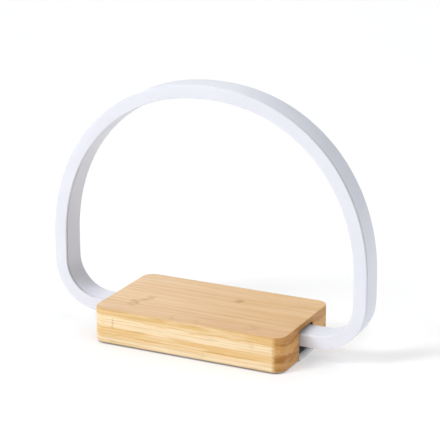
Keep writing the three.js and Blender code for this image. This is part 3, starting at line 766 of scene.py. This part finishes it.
# ---------------------------------------------------------------- lamp arch
def arch_line(corner_steps=28, crown_steps=110, side_steps=4):
    """Points (x, z) on the tube's outer side with outward normals, from the left tail to the right one."""
    half_width = HOUSING_HIGH.x
    bottom = HOUSING_LOW.z
    crown = HOUSING_HIGH.z - ARCH_SHOULDER
    centre_x = half_width - ARCH_CORNER
    centre_z = bottom + ARCH_CORNER
    right = []
    for i in range(crown_steps):  # a superellipse from the top to the shoulder
        angle = math.pi / 2 * (1 - i / crown_steps)
        u = math.cos(angle) ** (2 / CROWN_POWER) if i else 0.0
        v = math.sin(angle) ** (2 / CROWN_POWER)
        nx = u ** (CROWN_POWER - 1) / half_width
        nz = v ** (CROWN_POWER - 1) / crown
        size = math.hypot(nx, nz)
        right.append((half_width * u, ARCH_SHOULDER + crown * v, nx / size, nz / size))
    for i in range(side_steps + 1):  # the straight side below it
        right.append((half_width, ARCH_SHOULDER + (centre_z - ARCH_SHOULDER) * i / side_steps, 1.0, 0.0))
    for i in range(1, corner_steps + 1):  # the lower corner
        angle = math.radians(90 * i / corner_steps)
        nx, nz = math.cos(angle), -math.sin(angle)
        right.append((centre_x + ARCH_CORNER * nx, centre_z + ARCH_CORNER * nz, nx, nz))
    for share in (0.35, 0.7, 1.0):  # the straight tail
        right.append((centre_x + (TAIL_END - centre_x) * share, bottom, 0.0, -1.0))
    left = [(-x, z, -nx, nz) for x, z, nx, nz in right[:0:-1]]
    return left + right


ARCH = arch_line()


def sweep_arch(name, section):
    """Sweeps a section round the arch. Its points are (y, distance in from the tube's outer side)."""
    rings = []
    for x, z, nx, nz in ARCH:
        rings.append([(x - nx * inward, y, z - nz * inward) for y, inward in section])
    return mesh_from(name, rings)


def make_lamp_housing():
    """A U-shaped channel, open to the front, with soft rear edges and a slightly eased lip."""
    front = HOUSING_LOW.y + SEAM_EXTRA
    rear = HOUSING_HIGH.y
    inner = rear - TUBE_WALL
    soft = TUBE_REAR_EDGE
    lip = TUBE_LIP
    section = [(inner, TUBE_WALL), (front, TUBE_WALL)]
    section += arc(front + lip, lip, lip, 180, 270, 3)
    section += arc(rear - soft, soft, soft, 270, 360, 7)
    section += arc(rear - soft, TUBE - soft, soft, 0, 90, 7)
    section += arc(front + lip, TUBE - lip, lip, 90, 180, 3)
    section += [(front, TUBE - TUBE_WALL), (inner, TUBE - TUBE_WALL)]
    piece = make_piece("lamp_channel", sweep_arch("lamp_channel", section), "white_plastic")
    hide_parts("lamp_housing")


def make_diffuser():
    """The light cover: a face across the tube, and two legs that reach into the channel."""
    front = DIFFUSER_LOW.y
    back = front + DIFFUSER_FACE
    leg_end = DIFFUSER_HIGH.y
    edge = DIFFUSER_EDGE
    outer = TUBE_WALL + GAP
    inner = TUBE - outer
    section = [(back, 0.0)]
    section += arc(front + edge, edge, edge, 270, 180, 6)
    section += arc(front + edge, TUBE - edge, edge, 180, 90, 6)
    section += [(back, TUBE), (back, inner), (leg_end, inner), (leg_end, inner - DIFFUSER_LEG)]
    section += [(back, inner - DIFFUSER_LEG), (back, outer + DIFFUSER_LEG)]
    section += [(leg_end, outer + DIFFUSER_LEG), (leg_end, outer), (back, outer)]
    piece = make_piece("lamp_cover", sweep_arch("lamp_cover", section), "opal_plastic")
    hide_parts("lamp_diffuser")


make_lamp_housing()
make_diffuser()


# ---------------------------------------------------------------- floor, light and camera
TABLE_HALF = 6
TABLE_THICK = 0.02
TABLE_COLORS = (0.595, 0.6, 0.605), (0.605, 0.61, 0.615)
TABLE_GLOW = 0.4
ROOM_GLOW = 0.03

FAR_LIGHTS = [  # name, direction towards it, energy, angle it fills in radians
    ("key", (-0.4, -0.7, 1), 0.86, 0.3),
    ("key_low", (-0.6, -0.75, 0.6), 1.0, 0.3),
    ("front", (-0.25, -0.95, 0.4), 0.4, 0.3),
    ("rear_left", (-0.7, 0.7, 0.5), 0.9, 1.1),
    ("upper_right", (0.7, 0, 1), 1.0, 1.1),
    ("upper_rear", (0, 0.7, 1), 0.5, 1.1),
]
NEAR_LIGHTS = [  # name, place, power in watts, width
    ("left_lamp", (-0.7, -0.8, 0.6), 1.7, 0.4),
    ("right_lamp", (0.55, 0.1, 0.12), 0.35, 0.25),
]
NEAR_LIGHT_AIM = (0, 0, 0.08)

CAMERA_PLACE = (0.5306, -1.0687, 0.4592)
CAMERA_AIM = (0.0056, 0.0027, 0.091)
CAMERA_LENS, CAMERA_SENSOR = 143.35, 36  # in mm
CAMERA_REACH = 50


def past_corner_centre(g, value, half_size):
    """How far a point lies outside the centres of the block's round corners, along one axis."""
    return g.math("MAXIMUM", g.minus(g.absolute(value), half_size - WOOD_CORNER), 0.0)


def make_floor():
    """A white table lit from below, so its shadows stay pale. Its glow fades out under and just round the
    block, a painted contact shadow.
    """
    outline = box_outline(-TABLE_HALF, TABLE_HALF, -TABLE_HALF, TABLE_HALF)
    mesh = straight_plate("floor", outline, -TABLE_THICK, 0.0)
    floor = bpy.data.objects.new("floor", mesh)
    bpy.context.scene.collection.objects.link(floor)
    g = Graph("shooting_table")
    tone = g.noise(g.stretch((3, 3, 3)))
    g.set("Base Color", g.mix(g.span(tone, 0.3, 0.7), *TABLE_COLORS))
    x, y, _ = g.split(g.place)
    beside = past_corner_centre(g, x, WOOD_HIGH.x)
    before = past_corner_centre(g, y, WOOD_HIGH.y)
    away = g.math("SQRT", g.plus(g.times(beside, beside), g.times(before, before)))
    # painted contact shadow: the glow fades out within a few mm of the block's outline
    lit = g.span(away, WOOD_CORNER - 3 * MM, WOOD_CORNER + 0.5 * MM, 0.0, TABLE_GLOW)
    g.set("Emission Color", (1.0, 0.995, 0.99))
    g.set("Emission Strength", lit)
    g.set("Roughness", 0.9)
    g.set("Specular IOR Level", 0.1)
    mesh.materials.append(g.material)


def hang_light(lamp, towards):
    """Links a light, turned to shine from the direction it stands in."""
    light = bpy.data.objects.new(lamp.name, lamp)
    light.rotation_euler = Vector(towards).to_track_quat("Z", "Y").to_euler()
    bpy.context.scene.collection.objects.link(light)
    return light


def make_light():
    """A faint glow all round, far lights over the table and two lamps beside it."""
    world = bpy.data.worlds.new("studio")
    bpy.context.scene.world = world
    world.use_nodes = True
    background = world.node_tree.nodes["Background"]
    background.inputs["Color"].default_value = (1, 1, 1, 1)
    background.inputs["Strength"].default_value = ROOM_GLOW
    for name, towards, energy, angle in FAR_LIGHTS:
        sun = bpy.data.lights.new(name, "SUN")
        sun.energy = energy
        sun.angle = angle
        hang_light(sun, towards)
    for name, place, power, width in NEAR_LIGHTS:
        disk = bpy.data.lights.new(name, "AREA")
        disk.shape = "DISK"
        disk.energy = power
        disk.size = width
        hang_light(disk, Vector(place) - Vector(NEAR_LIGHT_AIM)).location = place


def make_camera():
    """A long lens at the right of the front, looking down a little."""
    data = bpy.data.cameras.new("camera")
    data.lens = CAMERA_LENS
    data.sensor_width = CAMERA_SENSOR
    data.clip_end = CAMERA_REACH
    camera = bpy.data.objects.new("camera", data)
    camera.location = CAMERA_PLACE
    camera.rotation_euler = (Vector(CAMERA_AIM) - camera.location).to_track_quat("-Z", "Y").to_euler()
    bpy.context.scene.collection.objects.link(camera)
    bpy.context.scene.camera = camera


make_floor()
make_light()
make_camera()
bpy.context.scene.view_settings.view_transform = "Standard"
